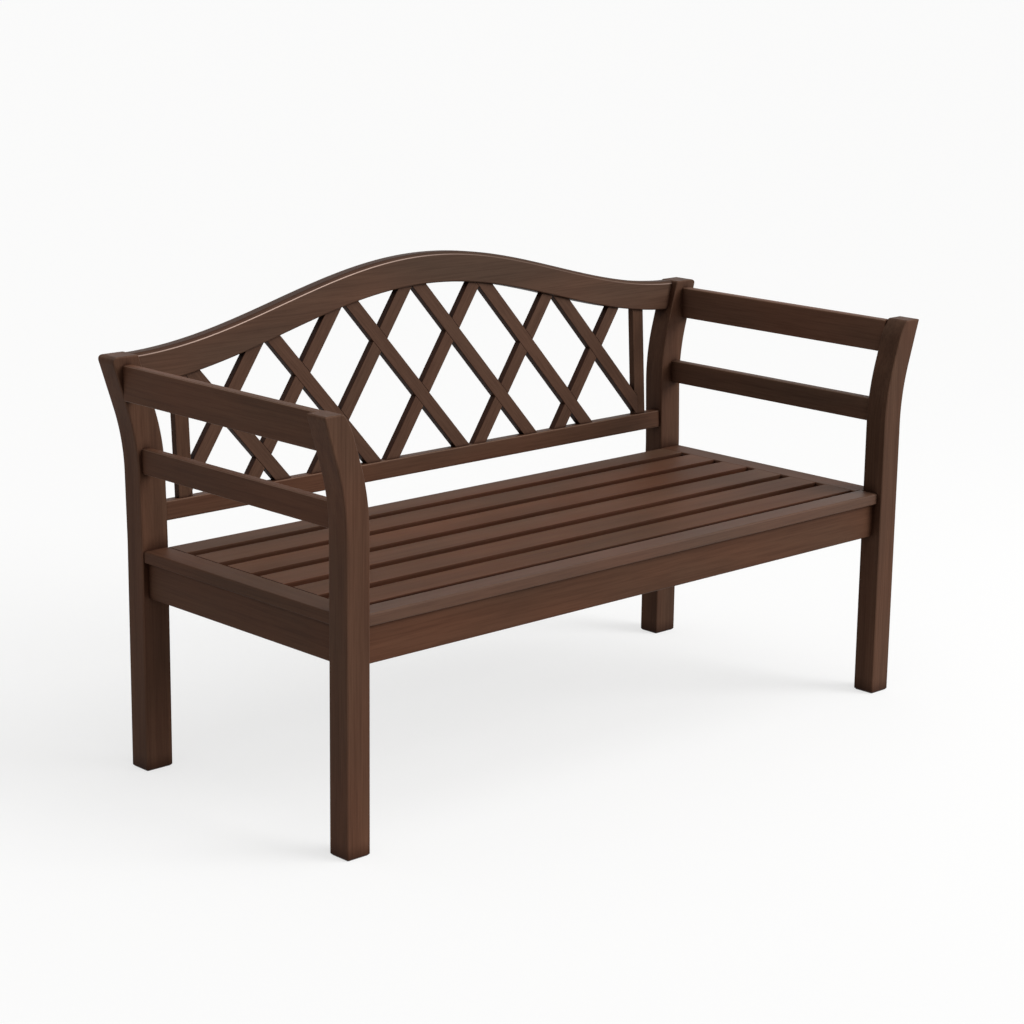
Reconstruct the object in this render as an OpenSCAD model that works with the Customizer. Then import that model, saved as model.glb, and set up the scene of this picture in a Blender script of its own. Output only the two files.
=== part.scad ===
// A two-seat garden bench in dark stained wood, with a humped crest rail, a diagonal lattice back,
// legs that flare outwards towards the top and a slatted seat.
// X runs along the bench, the front faces -Y, Z is up, and the origin is on the floor at the middle.

/* [Bench] */
// Width over the outer faces of the front legs at the floor
front_spread = 1444; // [1200:1:1800]
// Inset of each back leg's outer face from the front leg's
back_inset = 11; // [6:1:16]
// Depth from the front legs' front faces to the back legs' back faces at the floor
leg_depth = 637; // [600:1:720]
// Height of the seat's top above the floor
seat_height = 420; // [390:1:450]

/* [Legs] */
// Width of a front leg, along the bench
front_post_w = 50; // [44:1:60]
// Depth of a front leg, front to back
front_post_d = 48; // [44:1:60]
// Height of a front leg
front_post_h = 767; // [755:1:785]
// Width of a back leg, along the bench
back_post_w = 58; // [50:1:66]
// Depth of a back leg, front to back
back_post_d = 48; // [46:1:60]
// Height of a back leg above a front leg
back_step = 11; // [4:1:24]
// Height where the legs begin to curve outwards
flare_z = 558; // [530:1:575]
// Radius of the curve that the legs flare along
flare_radius = 410; // [300:1:500]
// Slope of the legs' straight tops, from the vertical
flare_angle = 17.2; // [13:0.1:19]
// Height where the back legs begin to lean back
rake_z = 430; // [425:1:500]
// Lean of the back legs
rake_angle = 1.8; // [0.5:0.1:3]
// Radius of the outer top corner of a front leg
front_top_round = 6; // [4:1:10]
// Radius of the outer top corner of a back leg
back_top_round = 14; // [6:1:18]
// Narrowing of a front leg at its very top, taken off its inner side
top_taper = 10; // [6:1:12]
// Height over which a front leg's top narrows
taper_h = 40; // [32:1:44]
// Chamfer round the foot of each leg
foot_chamfer = 3; // [1:0.5:5]
// Radius of the eased arrises of the legs and rails
arris_r = 3; // [1:0.5:4]

/* [Back] */
// Lean of the back panel
panel_rake = 3.4; // [2:0.1:5]
// Height of the crest rail, measured straight up
crest_h = 61; // [50:1:66]
// Thickness of the crest rail
crest_t = 36; // [30:1:40]
// Radius of the crest rail's top arrises
crest_round = 8; // [4:1:12]
// Rise of the crest rail from its ends to its middle
crest_rise = 120; // [80:1:130]
// Distance from the middle to where the hump of the crest rail runs out
crest_reach = 720; // [690:1:750]
// Height of the lower back rail's underside above the seat
rail_clearance = 46; // [30:1:60]
// Height of the lower back rail
rail_h = 36; // [32:1:50]
// Thickness of the lower back rail
rail_t = 27; // [26:1:36]
// Setback of the back panel's face from the back legs' front faces
rail_setback = 9; // [6:1:14]
// Width of a stile
stile_w = 31; // [26:1:40]
// Distance from the middle to the centre line of a stile
stile_x = 600; // [592:1:615]
// Setback of the lattice's face from the rails' faces
lattice_setback = 7; // [5:1:8]
// Thickness of the stiles and the lattice slats
lattice_t = 15; // [12:1:16]
// Width of a lattice slat
lattice_w = 29; // [22:1:32]
// Slope of the slats that rise towards the right, from the horizontal
rising_angle = 54.5; // [52:0.5:57]
// Slope of the slats that fall towards the right
falling_angle = 49; // [47:0.5:52]
// Offset of the lattice's middle from the bench's middle
lattice_offset = -14; // [-20:1:-8]
// Height above the lower rail where the slats' places are measured
lattice_mid = 81; // [76:1:86]
// Place of the first rising slat, from the lattice's middle
slat_1_x = -538; // [-545:1:-530]
// Place of the second rising slat
slat_2_x = -381; // [-390:1:-370]
// Place of the third rising slat
slat_3_x = -218; // [-228:1:-208]
// Place of the fourth rising slat
slat_4_x = -29; // [-38:1:-20]
// Place of the fifth rising slat
slat_5_x = 204; // [194:1:214]
// Place of the sixth rising slat
slat_6_x = 430; // [422:1:438]
// Shift of the outermost falling slat towards the right-hand stile
outer_shift = 14; // [4:1:18]
// Depth that the slats and stiles are let into their neighbours
let_in = 8; // [5:1:10]

/* [Arms] */
// Drop of an arm rail's top below the front legs' tops
arm_drop = 4; // [3:1:12]
// Height of an arm rail
arm_h = 65; // [50:1:70]
// Height of the underside of a middle rail above the floor
middle_z = 561; // [540:1:575]
// Height of a middle rail
middle_h = 47; // [36:1:60]
// Thickness of the arm rails and middle rails
side_rail_t = 20; // [18:1:24]
// Setback of the arm rails and middle rails from the front legs' outer faces
side_rail_setback = 19; // [14:1:21]

/* [Seat] */
// Thickness of the seat boards
seat_t = 22; // [18:1:25]
// Setback of the seat's front edge from the front legs' front faces
seat_setback = 10; // [6:1:18]
// Width of the front board
front_board_w = 45; // [40:1:60]
// Gap between the front board and the first slat
front_gap = 9; // [6:1:14]
// Width of a seat slat
seat_slat_w = 71; // [64:1:74]
// Gap between seat slats
seat_gap = 22; // [16:1:24]
// Width of an end board
end_board_w = 53; // [48:1:58]
// Setback of the end boards' outer edges from the front legs' outer faces
end_board_setback = 14; // [10:1:18]
// Gap between the seat and the legs
seat_play = 1.5; // [0.5:0.5:3]

/* [Under the seat] */
// Height of the aprons
apron_h = 69; // [60:1:90]
// Thickness of the aprons
apron_t = 22; // [20:1:24]
// Setback of the front apron from the front legs' front faces
front_apron_setback = 21; // [18:1:25]
// Setback of the side aprons from the front legs' outer faces
side_apron_setback = 24; // [20:1:26]
// Setback of the back apron from the back legs' front faces
back_apron_setback = 6; // [4:1:12]
// Width of a bearer
bearer_w = 22; // [20:1:30]
// Height of a bearer
bearer_h = 45; // [40:1:55]
// Distance from the middle to the outer bearers
bearer_x = 340; // [250:1:420]
// Depth of the housings that the bearers sit in
housing = 6; // [4:1:8]
// Width of the cleats along the side aprons
cleat_w = 20; // [16:1:24]
// Height of the cleats
cleat_h = 22; // [18:1:24]
// Thickness of the corner blocks
block_t = 22; // [18:1:26]
// Height of the corner blocks
block_h = 34; // [26:1:40]

/* [Joints] */
// Depth of the tenons in the legs
tenon_len = 18; // [14:1:20]
// Thickness of the side frames' tenons
tenon_t = 10; // [8:1:12]
// Shoulder above and below a tenon
shoulder = 8; // [6:1:10]
// Play round each tenon, halving and let-in end
fit = 0.2; // [0.1:0.05:0.4]
// Length of the tongues on the seat slats
tongue = 8; // [6:1:10]
// Thickness of the tongues on the seat slats
tongue_t = 8; // [6:1:10]
// Diameter of the dowels
dowel_d = 8; // [6:1:10]
// Depth of a dowel in each piece
dowel_depth = 11; // [8:1:12]
// Diameter of the corner bolts
bolt_d = 6; // [5:1:8]
// Depth of the corner bolts in the legs
bolt_depth = 24; // [18:1:26]
// Diameter of a screw's shank
screw_d = 4; // [3:0.5:5]
// Diameter of a screw's head
screw_head = 8; // [7:0.5:9]
// Depth of the screws in the wood that they hold
screw_bite = 13; // [10:1:15]

/* [Hidden] */

// Colours
wood_brown = [0.30, 0.20, 0.15];
under_brown = [0.36, 0.25, 0.18];
peg_tan = [0.68, 0.53, 0.36];
zinc = [0.72, 0.73, 0.75];

// Fineness of the curves
arris_steps = 3;
top_steps = 4;
flare_steps = 6;
taper_steps = 4;
crest_steps = 48;
$fn = 24;

// Legs
front_outer_x = front_spread / 2;
back_outer_x = front_outer_x - back_inset;
front_inner_x = front_outer_x - front_post_w;
back_inner_x = back_outer_x - back_post_w;
back_post_y = leg_depth - back_post_d;
back_post_h = front_post_h + back_step;
flare_top = flare_z + flare_radius * sin(flare_angle);

// Back panel, in a frame that starts at the lower rail's top front arris and leans with the panel
rail_top = seat_height + rail_clearance + rail_h;
rail_y = back_post_y + rail_setback;
crest_end = (back_post_h - rail_top) / cos(panel_rake);
lattice_x = [slat_1_x, slat_2_x, slat_3_x, slat_4_x, slat_5_x, slat_6_x];
slat_arris = 1.5;
crest_back = (crest_t - crest_round) * cos(panel_rake);
crest_lean = (crest_end + crest_rise - crest_round) * sin(panel_rake);
overall_depth = rail_y + crest_back + crest_lean + crest_round;

// Arms
arm_z = front_post_h - arm_drop - arm_h;

// Seat
seat_bottom = seat_height - seat_t;
seat_back_y = back_post_y - seat_play;
front_board_y = seat_setback + front_board_w;
end_board_x = front_outer_x - end_board_setback;
slat_end_x = end_board_x - end_board_w;
slats = 5;
slat_pitch = seat_slat_w + seat_gap;
slat_start = front_board_y + front_gap;
back_board_y = slat_start + slats * slat_pitch;
seat_arris = 3;

// Under the seat
apron_bottom = seat_bottom - apron_h;
apron_mid = seat_bottom - apron_h / 2;
front_apron_back = front_apron_setback + apron_t;
back_apron_y = back_post_y + back_apron_setback;
side_apron_x = front_outer_x - side_apron_setback - apron_t;
dowel_rise = 15;
board_dowel_x = 500;
cleat_play = 4;
block_gap = 4;
block_toe = 22;
block_run = 5;
block_reach = block_t * sqrt(2);
washer_t = 1.5;
washer_d = 16;
nut_t = 5;
nut_af = 10;
bolt_end = 3;
bolt_run = block_gap / sqrt(2) + block_t;
bearer_run = 25;
head_h = (screw_head - screw_d) / 2;
head_edge = 1;
point_h = screw_d;

// Shapes

// Outline of a rectangle with rounded corners, anticlockwise; its upper corners may be rounder
function rounded_box(x0, y0, x1, y1, r, top = undef) =
    let (t = is_undef(top) ? r : top)
    [
        for (corner = [
            [x1 - t, y1 - t, t, 0], [x0 + t, y1 - t, t, 90],
            [x0 + r, y0 + r, r, 180], [x1 - r, y0 + r, r, 270]
        ])
            for (step = [0 : arris_steps])
                let (a = corner[3] + 90 * step / arris_steps)
                    [corner.x + corner.z * cos(a), corner.y + corner.z * sin(a)]
    ];

// Solid skinned over rings that have the same number of points
module skin(rings) {
    n = len(rings[0]);
    last = len(rings) - 1;
    polyhedron(
        points = [for (ring = rings) each ring],
        faces = concat(
            [[for (i = [0 : n - 1]) i]],
            [for (k = [0 : last - 1]) for (i = [0 : n - 1])
                [k * n + i, (k + 1) * n + i, (k + 1) * n + (i + 1) % n, k * n + (i + 1) % n]],
            [[for (i = [n - 1 : -1 : 0]) last * n + i]]
        )
    );
}

// Bars with rounded long arrises, from one corner to the other
module bar_x(a, b, r = arris_r)
    translate([a.x, 0, 0]) rotate([90, 0, 90]) linear_extrude(b.x - a.x)
        polygon(rounded_box(a.y, a.z, b.y, b.z, r));

module bar_y(a, b, r = arris_r)
    translate([0, b.y, 0]) rotate([90, 0, 0]) linear_extrude(b.y - a.y)
        polygon(rounded_box(a.x, a.z, b.x, b.z, r));

module box(a, b) translate(a) cube(b - a);

// The two ends of the bench are mirror images
module on_side(side) {
    if (side > 0) children();
    else mirror([1, 0, 0]) children();
}

// Every piece is drawn with y = 0 at the front legs' front faces, then centred
module centred() translate([0, -overall_depth / 2, 0]) children();
module wood() color(wood_brown) centred() children();
module hidden_wood() color(under_brown) centred() children();
module peg() color(peg_tan) centred() children();
module steel() color(zinc) centred() children();

// Legs

// How far a leg has flared outwards at a height
function flare(z) =
    z < flare_z ? 0
    : z < flare_top ? flare_radius - sqrt(pow(flare_radius, 2) - pow(z - flare_z, 2))
    : flare_radius * (1 - cos(flare_angle)) + (z - flare_top) * tan(flare_angle);

// How far a back leg has leaned back at a height
function rake(z, lean) = z < rake_z ? 0 : (z - rake_z) * tan(lean);

// Heights of the sections of a leg
function post_levels(height, top_round, taper) = concat(
    [0, foot_chamfer, rake_z],
    [for (k = [0 : flare_steps]) flare_z + flare_radius * sin(flare_angle * k / flare_steps)],
    taper == 0 ? []
    : [for (k = [0 : taper_steps - 1]) height - taper_h + (taper_h - top_round) * k / taper_steps],
    [for (k = [0 : top_steps]) height - top_round + top_round * sin(90 * k / top_steps)]
);

// Section of a right-hand leg at a height, with its outer face at the given x at the floor
function post_section(z, outer_x, width, depth, height, y, lean, top_round, taper) =
    let (
        foot = max(0, foot_chamfer - z),
        top = max(0, z - height + arris_r),
        above = max(0, z - height + top_round),
        inset = max(foot, top),
        outer_inset = max(inset, top_round - sqrt(pow(top_round, 2) - pow(above, 2))),
        narrowed = taper * pow(max(0, z - height + taper_h) / taper_h, 2),
        x = outer_x + flare(z),
        inner_x = x - width + narrowed + inset,
        back = y + rake(z, lean)
    )
    [for (p = rounded_box(inner_x, back + inset, x - outer_inset, back + depth - inset, arris_r))
        [p.x, p.y, z]];

module post(outer_x, width, depth, height, y, lean, top_round, taper)
    skin([
        for (z = post_levels(height, top_round, taper))
            post_section(z, outer_x, width, depth, height, y, lean, top_round, taper)
    ]);

module front_post(side)
    wood() on_side(side) difference() {
        post(
            front_outer_x, front_post_w, front_post_d, front_post_h, 0, 0, front_top_round, top_taper
        );
        arm_core(fit);
        middle_core(fit);
        side_apron_core(fit);
        front_dowels(fit);
        corner_bore(true);
    }

module back_post(side)
    wood() on_side(side) difference() {
        post(
            back_outer_x, back_post_w, back_post_d, back_post_h, back_post_y, rake_angle, back_top_round, 0
        );
        arm_core(fit);
        middle_core(fit);
        side_apron_core(fit);
        back_dowels(fit);
        corner_bore(false);
        lower_rail_core(fit);
        crest_core(fit);
    }

// Side frames: arm rail, middle rail and side apron, tenoned into the legs

// Centre of a side rail, which stands as far outwards as the legs have flared at its height
function side_rail_x(z) = front_outer_x - side_rail_setback - side_rail_t / 2 + flare(z);

// Everything behind the back legs' front faces
module behind_posts()
    translate([0, back_post_y, rake_z]) rotate([-rake_angle, 0, 0])
        translate([0, 0, -rake_z]) cube([front_spread, leg_depth, 3 * rake_z]);

// A bar that runs between the legs and ends in their mortises
module side_core(x, z0, z1, grow)
    box(
        [x - tenon_t / 2 - grow, front_post_d - tenon_len - grow, z0 - grow],
        [x + tenon_t / 2 + grow, back_post_y + rake((z0 + z1) / 2, rake_angle) + tenon_len + grow, z1 + grow]
    );

module side_rail(z, height) {
    x = side_rail_x(z + height / 2);
    difference() {
        bar_y([x - side_rail_t / 2, front_post_d, z], [x + side_rail_t / 2, leg_depth, z + height]);
        behind_posts();
    }
}

module arm_core(grow = 0)
    side_core(side_rail_x(arm_z + arm_h / 2), arm_z + shoulder, arm_z + arm_h - shoulder, grow);

module middle_core(grow = 0)
    side_core(
        side_rail_x(middle_z + middle_h / 2), middle_z + shoulder, middle_z + middle_h - shoulder, grow
    );

module side_apron_core(grow = 0)
    side_core(side_apron_x + apron_t / 2, apron_bottom + shoulder, seat_bottom - shoulder, grow);

module arm_rail(side)
    wood() on_side(side) {
        side_rail(arm_z, arm_h);
        arm_core();
    }

module middle_rail(side)
    wood() on_side(side) {
        side_rail(middle_z, middle_h);
        middle_core();
    }

// Side aprons, whose tenons in the legs are bored where the dowels reach them
module side_apron(side)
    wood() on_side(side) difference() {
        union() {
            bar_y(
                [side_apron_x, front_post_d, apron_bottom],
                [side_apron_x + apron_t, back_post_y, seat_bottom]
            );
            side_apron_core();
        }
        front_dowels(fit);
        back_dowels(fit);
        corner_bore(true);
        corner_bore(false);
        cleat_side_screws() screw_bore(cleat_w);
        block_side_screw(true) screw_bore(block_run);
        block_side_screw(false) screw_bore(block_run);
    }

// Front and back aprons, dowelled between the legs

module dowel_pair(x, y, grow)
    for (z = [apron_mid - dowel_rise, apron_mid + dowel_rise])
        translate([x - dowel_depth - grow, y, z]) rotate([0, 90, 0])
            cylinder(d = dowel_d + 2 * grow, h = 2 * (dowel_depth + grow));

module front_dowels(grow = 0) dowel_pair(front_inner_x, front_apron_setback + apron_t / 2, grow);
module back_dowels(grow = 0) dowel_pair(back_inner_x, back_apron_y + apron_t / 2, grow);

module board_dowels(grow = 0)
    for (x = [-board_dowel_x, 0, board_dowel_x])
        translate([x, front_apron_setback + apron_t / 2, seat_bottom - dowel_depth - grow])
            cylinder(d = dowel_d + 2 * grow, h = 2 * (dowel_depth + grow));

module apron_front()
    wood() difference() {
        bar_x(
            [-front_inner_x, front_apron_setback, apron_bottom],
            [front_inner_x, front_apron_back, seat_bottom]
        );
        bearers(fit);
        board_dowels(fit);
        for (side = [-1, 1]) on_side(side) {
            front_dowels(fit);
            block_end_screw(true) screw_bore(block_run);
        }
    }

module apron_back()
    wood() difference() {
        bar_x(
            [-back_inner_x, back_apron_y, apron_bottom],
            [back_inner_x, back_apron_y + apron_t, seat_bottom]
        );
        bearers(fit);
        for (side = [-1, 1]) on_side(side) {
            back_dowels(fit);
            block_end_screw(false) screw_bore(block_run);
        }
    }

// Back panel: crest rail, lower rail, two stiles and twelve lattice slats

module panel() translate([0, rail_y, rail_top]) rotate([-panel_rake, 0, 0]) children();

// Top of the crest rail in the panel's frame
function crest_top(x) =
    crest_end + (abs(x) < crest_reach ? crest_rise * (1 + cos(180 * x / crest_reach)) / 2 : 0);

function crest_bottom(x) = crest_top(x) - crest_h;

// Places along the crest rail
crest_places = [for (k = [0 : crest_steps]) (2 * k / crest_steps - 1) * (front_outer_x + front_post_w)];

// A band along the crest rail, drawn in from its underside and from its top
module crest_band(below, above, y, thickness)
    panel() translate([0, y + thickness, 0]) rotate([90, 0, 0]) linear_extrude(thickness)
        polygon(concat(
            [for (x = crest_places) [x, crest_bottom(x) + below]],
            [for (k = [crest_steps : -1 : 0]) let (x = crest_places[k]) [x, crest_top(x) - above]]
        ));

// The space between the back legs' inner faces, widened on each side
module between_posts(widen) {
    levels = concat(post_levels(back_post_h, back_top_round, 0), [back_post_h + crest_rise + crest_h]);
    translate([0, 2 * leg_depth, 0]) rotate([90, 0, 0]) linear_extrude(2 * leg_depth)
        polygon(concat(
            [for (z = levels) [back_inner_x + flare(z) + widen, z]],
            [for (k = [len(levels) - 1 : -1 : 0]) [-back_inner_x - flare(levels[k]) - widen, levels[k]]]
        ));
}

module crest_bar()
    panel() skin([
        for (x = crest_places)
            [for (p = rounded_box(0, crest_bottom(x), crest_t, crest_top(x), arris_r, crest_round))
                [x, p.x, p.y]]
    ]);

// Groove along the crest rail's underside that takes the upper ends of the slats and stiles
module crest_groove() {
    groove_end = stile_x + stile_w / 2 + fit;
    intersection() {
        crest_band(-let_in, crest_h - let_in - fit, lattice_setback - fit, lattice_t + 2 * fit);
        panel() box([-groove_end, 0, 0], [groove_end, crest_t, crest_end + crest_rise]);
    }
}

module crest_core(grow = 0)
    intersection() {
        crest_band(
            shoulder - grow, shoulder + crest_round - grow, (crest_t - tenon_t) / 2 - grow,
            tenon_t + 2 * grow
        );
        between_posts(tenon_len + grow);
    }

module lower_rail_core(grow = 0)
    panel() box(
        [-back_inner_x - tenon_len - grow, (rail_t - tenon_t) / 2 - grow, shoulder - rail_h - grow],
        [back_inner_x + tenon_len + grow, (rail_t + tenon_t) / 2 + grow, -shoulder + grow]
    );

// The field that the lattice fills, widened into the rails and stiles that frame it
module lattice_field(half_length)
    panel() translate([0, crest_t, 0]) rotate([90, 0, 0]) linear_extrude(crest_t)
        polygon(concat(
            [[half_length, -let_in], [half_length, crest_bottom(half_length) + let_in]],
            [for (k = [crest_steps : -1 : 0]) let (x = crest_places[k])
                if (abs(x) < half_length) [x, crest_bottom(x) + let_in]],
            [[-half_length, crest_bottom(half_length) + let_in], [-half_length, -let_in]]
        ));

// Place of a lattice slat along the bench; a rise of -1 is a falling slat
function lattice_place(i, rise) =
    lattice_offset + rise * lattice_x[i] + (rise < 0 && i == 0 ? outer_shift : 0);

function lattice_slope(rise) = rise > 0 ? rising_angle : -falling_angle;

// The line of a lattice slat, as an X axis
module along_slat(i, rise)
    panel() translate([lattice_place(i, rise), lattice_setback, lattice_mid])
        rotate([0, -lattice_slope(rise), 0]) children();

module lattice_slat(i, rise)
    intersection() {
        along_slat(i, rise) bar_x(
            [-front_outer_x, 0, -lattice_w / 2],
            [front_outer_x, lattice_t, lattice_w / 2],
            slat_arris
        );
        lattice_field(stile_x - stile_w / 2 + let_in);
    }

// Square mortises, drawn as outlines in the panel's plane
module mortises()
    panel() translate([0, lattice_setback + lattice_t + fit, 0]) rotate([90, 0, 0])
        linear_extrude(lattice_t + 2 * fit) children();

module slat_ends() {
    reach = stile_x - stile_w / 2 + let_in + fit;
    intersection() {
        for (rise = [-1, 1]) for (i = [0 : len(lattice_x) - 1])
            translate([lattice_place(i, rise), lattice_mid]) rotate(lattice_slope(rise))
                square([2 * front_spread, lattice_w + 2 * fit], center = true);
        translate([-reach, -let_in - fit]) square([2 * reach, crest_end + crest_rise]);
    }
}

module stile_feet()
    for (side = [-1, 1])
        translate([side * stile_x - stile_w / 2 - fit, -let_in - fit]) square([stile_w + 2 * fit, rail_h]);

// Where slats cross, a rising one loses its front half and a falling one its back half
module halving(i, rise)
    along_slat(i, -rise) translate([0, -rise * (lattice_t - fit) / 2, 0])
        box([-front_outer_x, 0, -lattice_w / 2 - fit], [front_outer_x, lattice_t, lattice_w / 2 + fit]);

module lattice_piece(i, rise)
    wood() difference() {
        lattice_slat(i, rise);
        for (j = [0 : len(lattice_x) - 1]) halving(j, rise);
    }

module stile_bar()
    intersection() {
        panel() translate([stile_x, lattice_setback, 0]) rotate([0, -90, 0])
            bar_x([-rail_h, 0, -stile_w / 2], [crest_end + crest_rise, lattice_t, stile_w / 2], slat_arris);
        lattice_field(stile_x + stile_w);
    }

module back_stile(side)
    wood() difference() {
        on_side(side) stile_bar();
        mortises() slat_ends();
    }

module crest_rail()
    wood() difference() {
        union() {
            intersection() {
                crest_bar();
                between_posts(0);
            }
            crest_core();
        }
        crest_groove();
    }

module back_lower_rail()
    wood() difference() {
        union() {
            panel() bar_x([-back_inner_x, 0, -rail_h], [back_inner_x, rail_t, 0]);
            lower_rail_core();
        }
        mortises() {
            slat_ends();
            stile_feet();
        }
    }

// Seat: front and back boards, five slats and two end boards

function slat_y(i) = slat_start + (i - 1) * slat_pitch;

// A tongue on each end of a board that lies between the end boards
module tongues(y0, y1, grow = 0)
    box(
        [-slat_end_x - tongue - grow, y0 + shoulder - grow, seat_bottom + (seat_t - tongue_t) / 2 - grow],
        [slat_end_x + tongue + grow, y1 - shoulder + grow, seat_bottom + (seat_t + tongue_t) / 2 + grow]
    );

module seat_board(y0, y1) {
    bar_x([-slat_end_x, y0, seat_bottom], [slat_end_x, y1, seat_height], seat_arris);
    tongues(y0, y1);
}

module seat_front_board()
    wood() difference() {
        bar_x(
            [-front_inner_x + seat_play, seat_setback, seat_bottom],
            [front_inner_x - seat_play, front_board_y, seat_height],
            seat_arris
        );
        board_dowels(fit);
    }

module seat_back_board()
    wood() difference() {
        seat_board(back_board_y, seat_back_y);
        bearer_screws() screw_bore(bearer_run);
    }

module seat_slat(i)
    wood() difference() {
        seat_board(slat_y(i), slat_y(i) + seat_slat_w);
        bearer_screws() screw_bore(bearer_run);
    }

module seat_end_board(side)
    wood() on_side(side) difference() {
        bar_y(
            [slat_end_x, front_post_d + seat_play, seat_bottom],
            [end_board_x, seat_back_y, seat_height],
            seat_arris
        );
        box(
            [0, 0, 0],
            [front_inner_x - seat_play + fit, front_board_y + fit, 2 * seat_height]
        );
        for (i = [1 : slats]) tongues(slat_y(i), slat_y(i) + seat_slat_w, fit);
        tongues(back_board_y, seat_back_y, fit);
        cleat_up_screws() screw_bore(cleat_h);
    }

// Bearers, cleats and corner blocks under the seat

module bearer_bar(x, grow)
    box(
        [x - bearer_w / 2 - grow, front_apron_back - housing - grow, seat_bottom - bearer_h - grow],
        [x + bearer_w / 2 + grow, back_apron_y + housing + grow, seat_bottom + grow]
    );

module bearers(grow) for (k = [-1, 0, 1]) bearer_bar(k * bearer_x, grow);

module bearer(k)
    hidden_wood() difference() {
        bearer_bar(k * bearer_x, 0);
        bearer_screws() screw_bore(bearer_run, bearer_h);
    }

// A place along a cleat, from its front end at 0 to its back end at 1
function cleat_y(share) =
    (1 - share) * (front_post_d + block_end(true) + cleat_play)
    + share * (back_post_y - block_end(false) - cleat_play);

module cleat(side)
    hidden_wood() on_side(side) difference() {
        box(
            [side_apron_x - cleat_w, cleat_y(0), seat_bottom - cleat_h],
            [side_apron_x, cleat_y(1), seat_bottom]
        );
        cleat_up_screws() screw_bore(cleat_h);
        cleat_side_screws() screw_bore(cleat_w);
    }

// Corner of the frame at a leg: the leg's inner corner and the setbacks of the two aprons behind it
function corner_x(front) = front ? front_inner_x : back_inner_x;
function corner_y(front) = front ? front_post_d : back_post_y;
function corner_turn(front) = front ? 1 : -1;
function side_gap(front) = side_apron_x - corner_x(front);
function end_gap(front) = front ? front_post_d - front_apron_back : back_apron_setback;
function block_end(front) = block_gap + side_gap(front) + block_reach;

module corner_block(front, side)
    hidden_wood() on_side(side) difference() {
        translate([corner_x(front), corner_y(front), apron_mid - block_h / 2])
            linear_extrude(block_h)
                polygon([for (p = [
                    [block_gap + end_gap(front), -end_gap(front)],
                    [block_gap + end_gap(front) + block_reach, -end_gap(front)],
                    [-side_gap(front), block_end(front)],
                    [-side_gap(front), block_gap + side_gap(front)]
                ]) [-p.x, corner_turn(front) * p.y]]);
        corner_bore(front);
        block_end_screw(front) screw_bore(block_run, block_t);
        block_side_screw(front) screw_bore(block_run, block_t);
    }

// Places of the screws, each at the screw's head and pointing the way that it is driven
module bearer_screws() {
    boards = concat([for (i = [1 : slats]) slat_y(i) + seat_slat_w / 2], [(back_board_y + seat_back_y) / 2]);
    for (k = [-1, 0, 1]) for (y = boards)
        translate([k * bearer_x, y, seat_bottom - bearer_run]) children();
}

module cleat_up_screws()
    for (share = [1 / 10, 5 / 10, 9 / 10])
        translate([side_apron_x - screw_head / 2 - head_edge, cleat_y(share), seat_bottom - cleat_h])
            children();

module cleat_side_screws()
    for (share = [3 / 10, 7 / 10])
        translate([side_apron_x - cleat_w, cleat_y(share), seat_bottom - cleat_h / 2])
            rotate([0, 90, 0]) children();

module block_end_screw(front)
    translate([
        corner_x(front) - block_gap - end_gap(front) - block_toe,
        corner_y(front) + corner_turn(front) * (block_run - end_gap(front)),
        apron_mid
    ]) rotate([corner_turn(front) * 90, 0, 0]) children();

module block_side_screw(front)
    translate([
        side_apron_x - block_run,
        corner_y(front) + corner_turn(front) * (block_gap + side_gap(front) + block_toe),
        apron_mid
    ]) rotate([0, 90, 0]) children();

// A countersunk screw whose head lies in the face at z = 0, through a piece as thick as run
module screw(run)
    rotate_extrude() polygon([
        [0, 0], [screw_head / 2, 0], [screw_d / 2, head_h],
        [screw_d / 2, run + screw_bite - point_h], [0, run + screw_bite]
    ]);

module screw_bore(run, recess = 0)
    rotate_extrude() polygon([
        [0, -recess], [screw_head / 2 + fit, -recess], [screw_head / 2 + fit, fit],
        [screw_d / 2 + fit, head_h + fit], [screw_d / 2 + fit, run + screw_bite + fit],
        [0, run + screw_bite + fit]
    ]);

// Places of the corner bolts, from a leg's inner corner towards the middle of the seat
module at_corner(front)
    translate([corner_x(front), corner_y(front), apron_mid]) rotate([0, 90, front ? 135 : 225]) children();

module corner_bore(front)
    at_corner(front) translate([0, 0, -bolt_depth - fit])
        cylinder(d = bolt_d + 2 * fit, h = bolt_depth + 2 * bolt_run);

module all_corners()
    for (side = [-1, 1]) on_side(side) for (front = [true, false]) at_corner(front) children();

// Dowels, screws and bolts

module dowels()
    peg() {
        for (side = [-1, 1]) on_side(side) {
            front_dowels();
            back_dowels();
        }
        board_dowels();
    }

module seat_screws() steel() bearer_screws() screw(bearer_run);

module cleat_screws()
    steel() for (side = [-1, 1]) on_side(side) {
        cleat_up_screws() screw(cleat_h);
        cleat_side_screws() screw(cleat_w);
    }

module block_screws()
    steel() for (side = [-1, 1]) on_side(side) for (front = [true, false]) {
        block_end_screw(front) screw(block_run);
        block_side_screw(front) screw(block_run);
    }

module corner_bolts()
    steel() all_corners() translate([0, 0, -bolt_depth])
        cylinder(d = bolt_d, h = bolt_depth + bolt_run + washer_t + nut_t + bolt_end);

module corner_washers()
    steel() all_corners() translate([0, 0, bolt_run]) difference() {
        cylinder(d = washer_d, h = washer_t);
        translate([0, 0, -washer_t]) cylinder(d = bolt_d + 2 * fit, h = 3 * washer_t);
    }

module corner_nuts()
    steel() all_corners() translate([0, 0, bolt_run + washer_t]) difference() {
        cylinder(d = nut_af / cos(30), h = nut_t, $fn = 6);
        translate([0, 0, -nut_t]) cylinder(d = bolt_d + 2 * fit, h = 3 * nut_t);
    }

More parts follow.
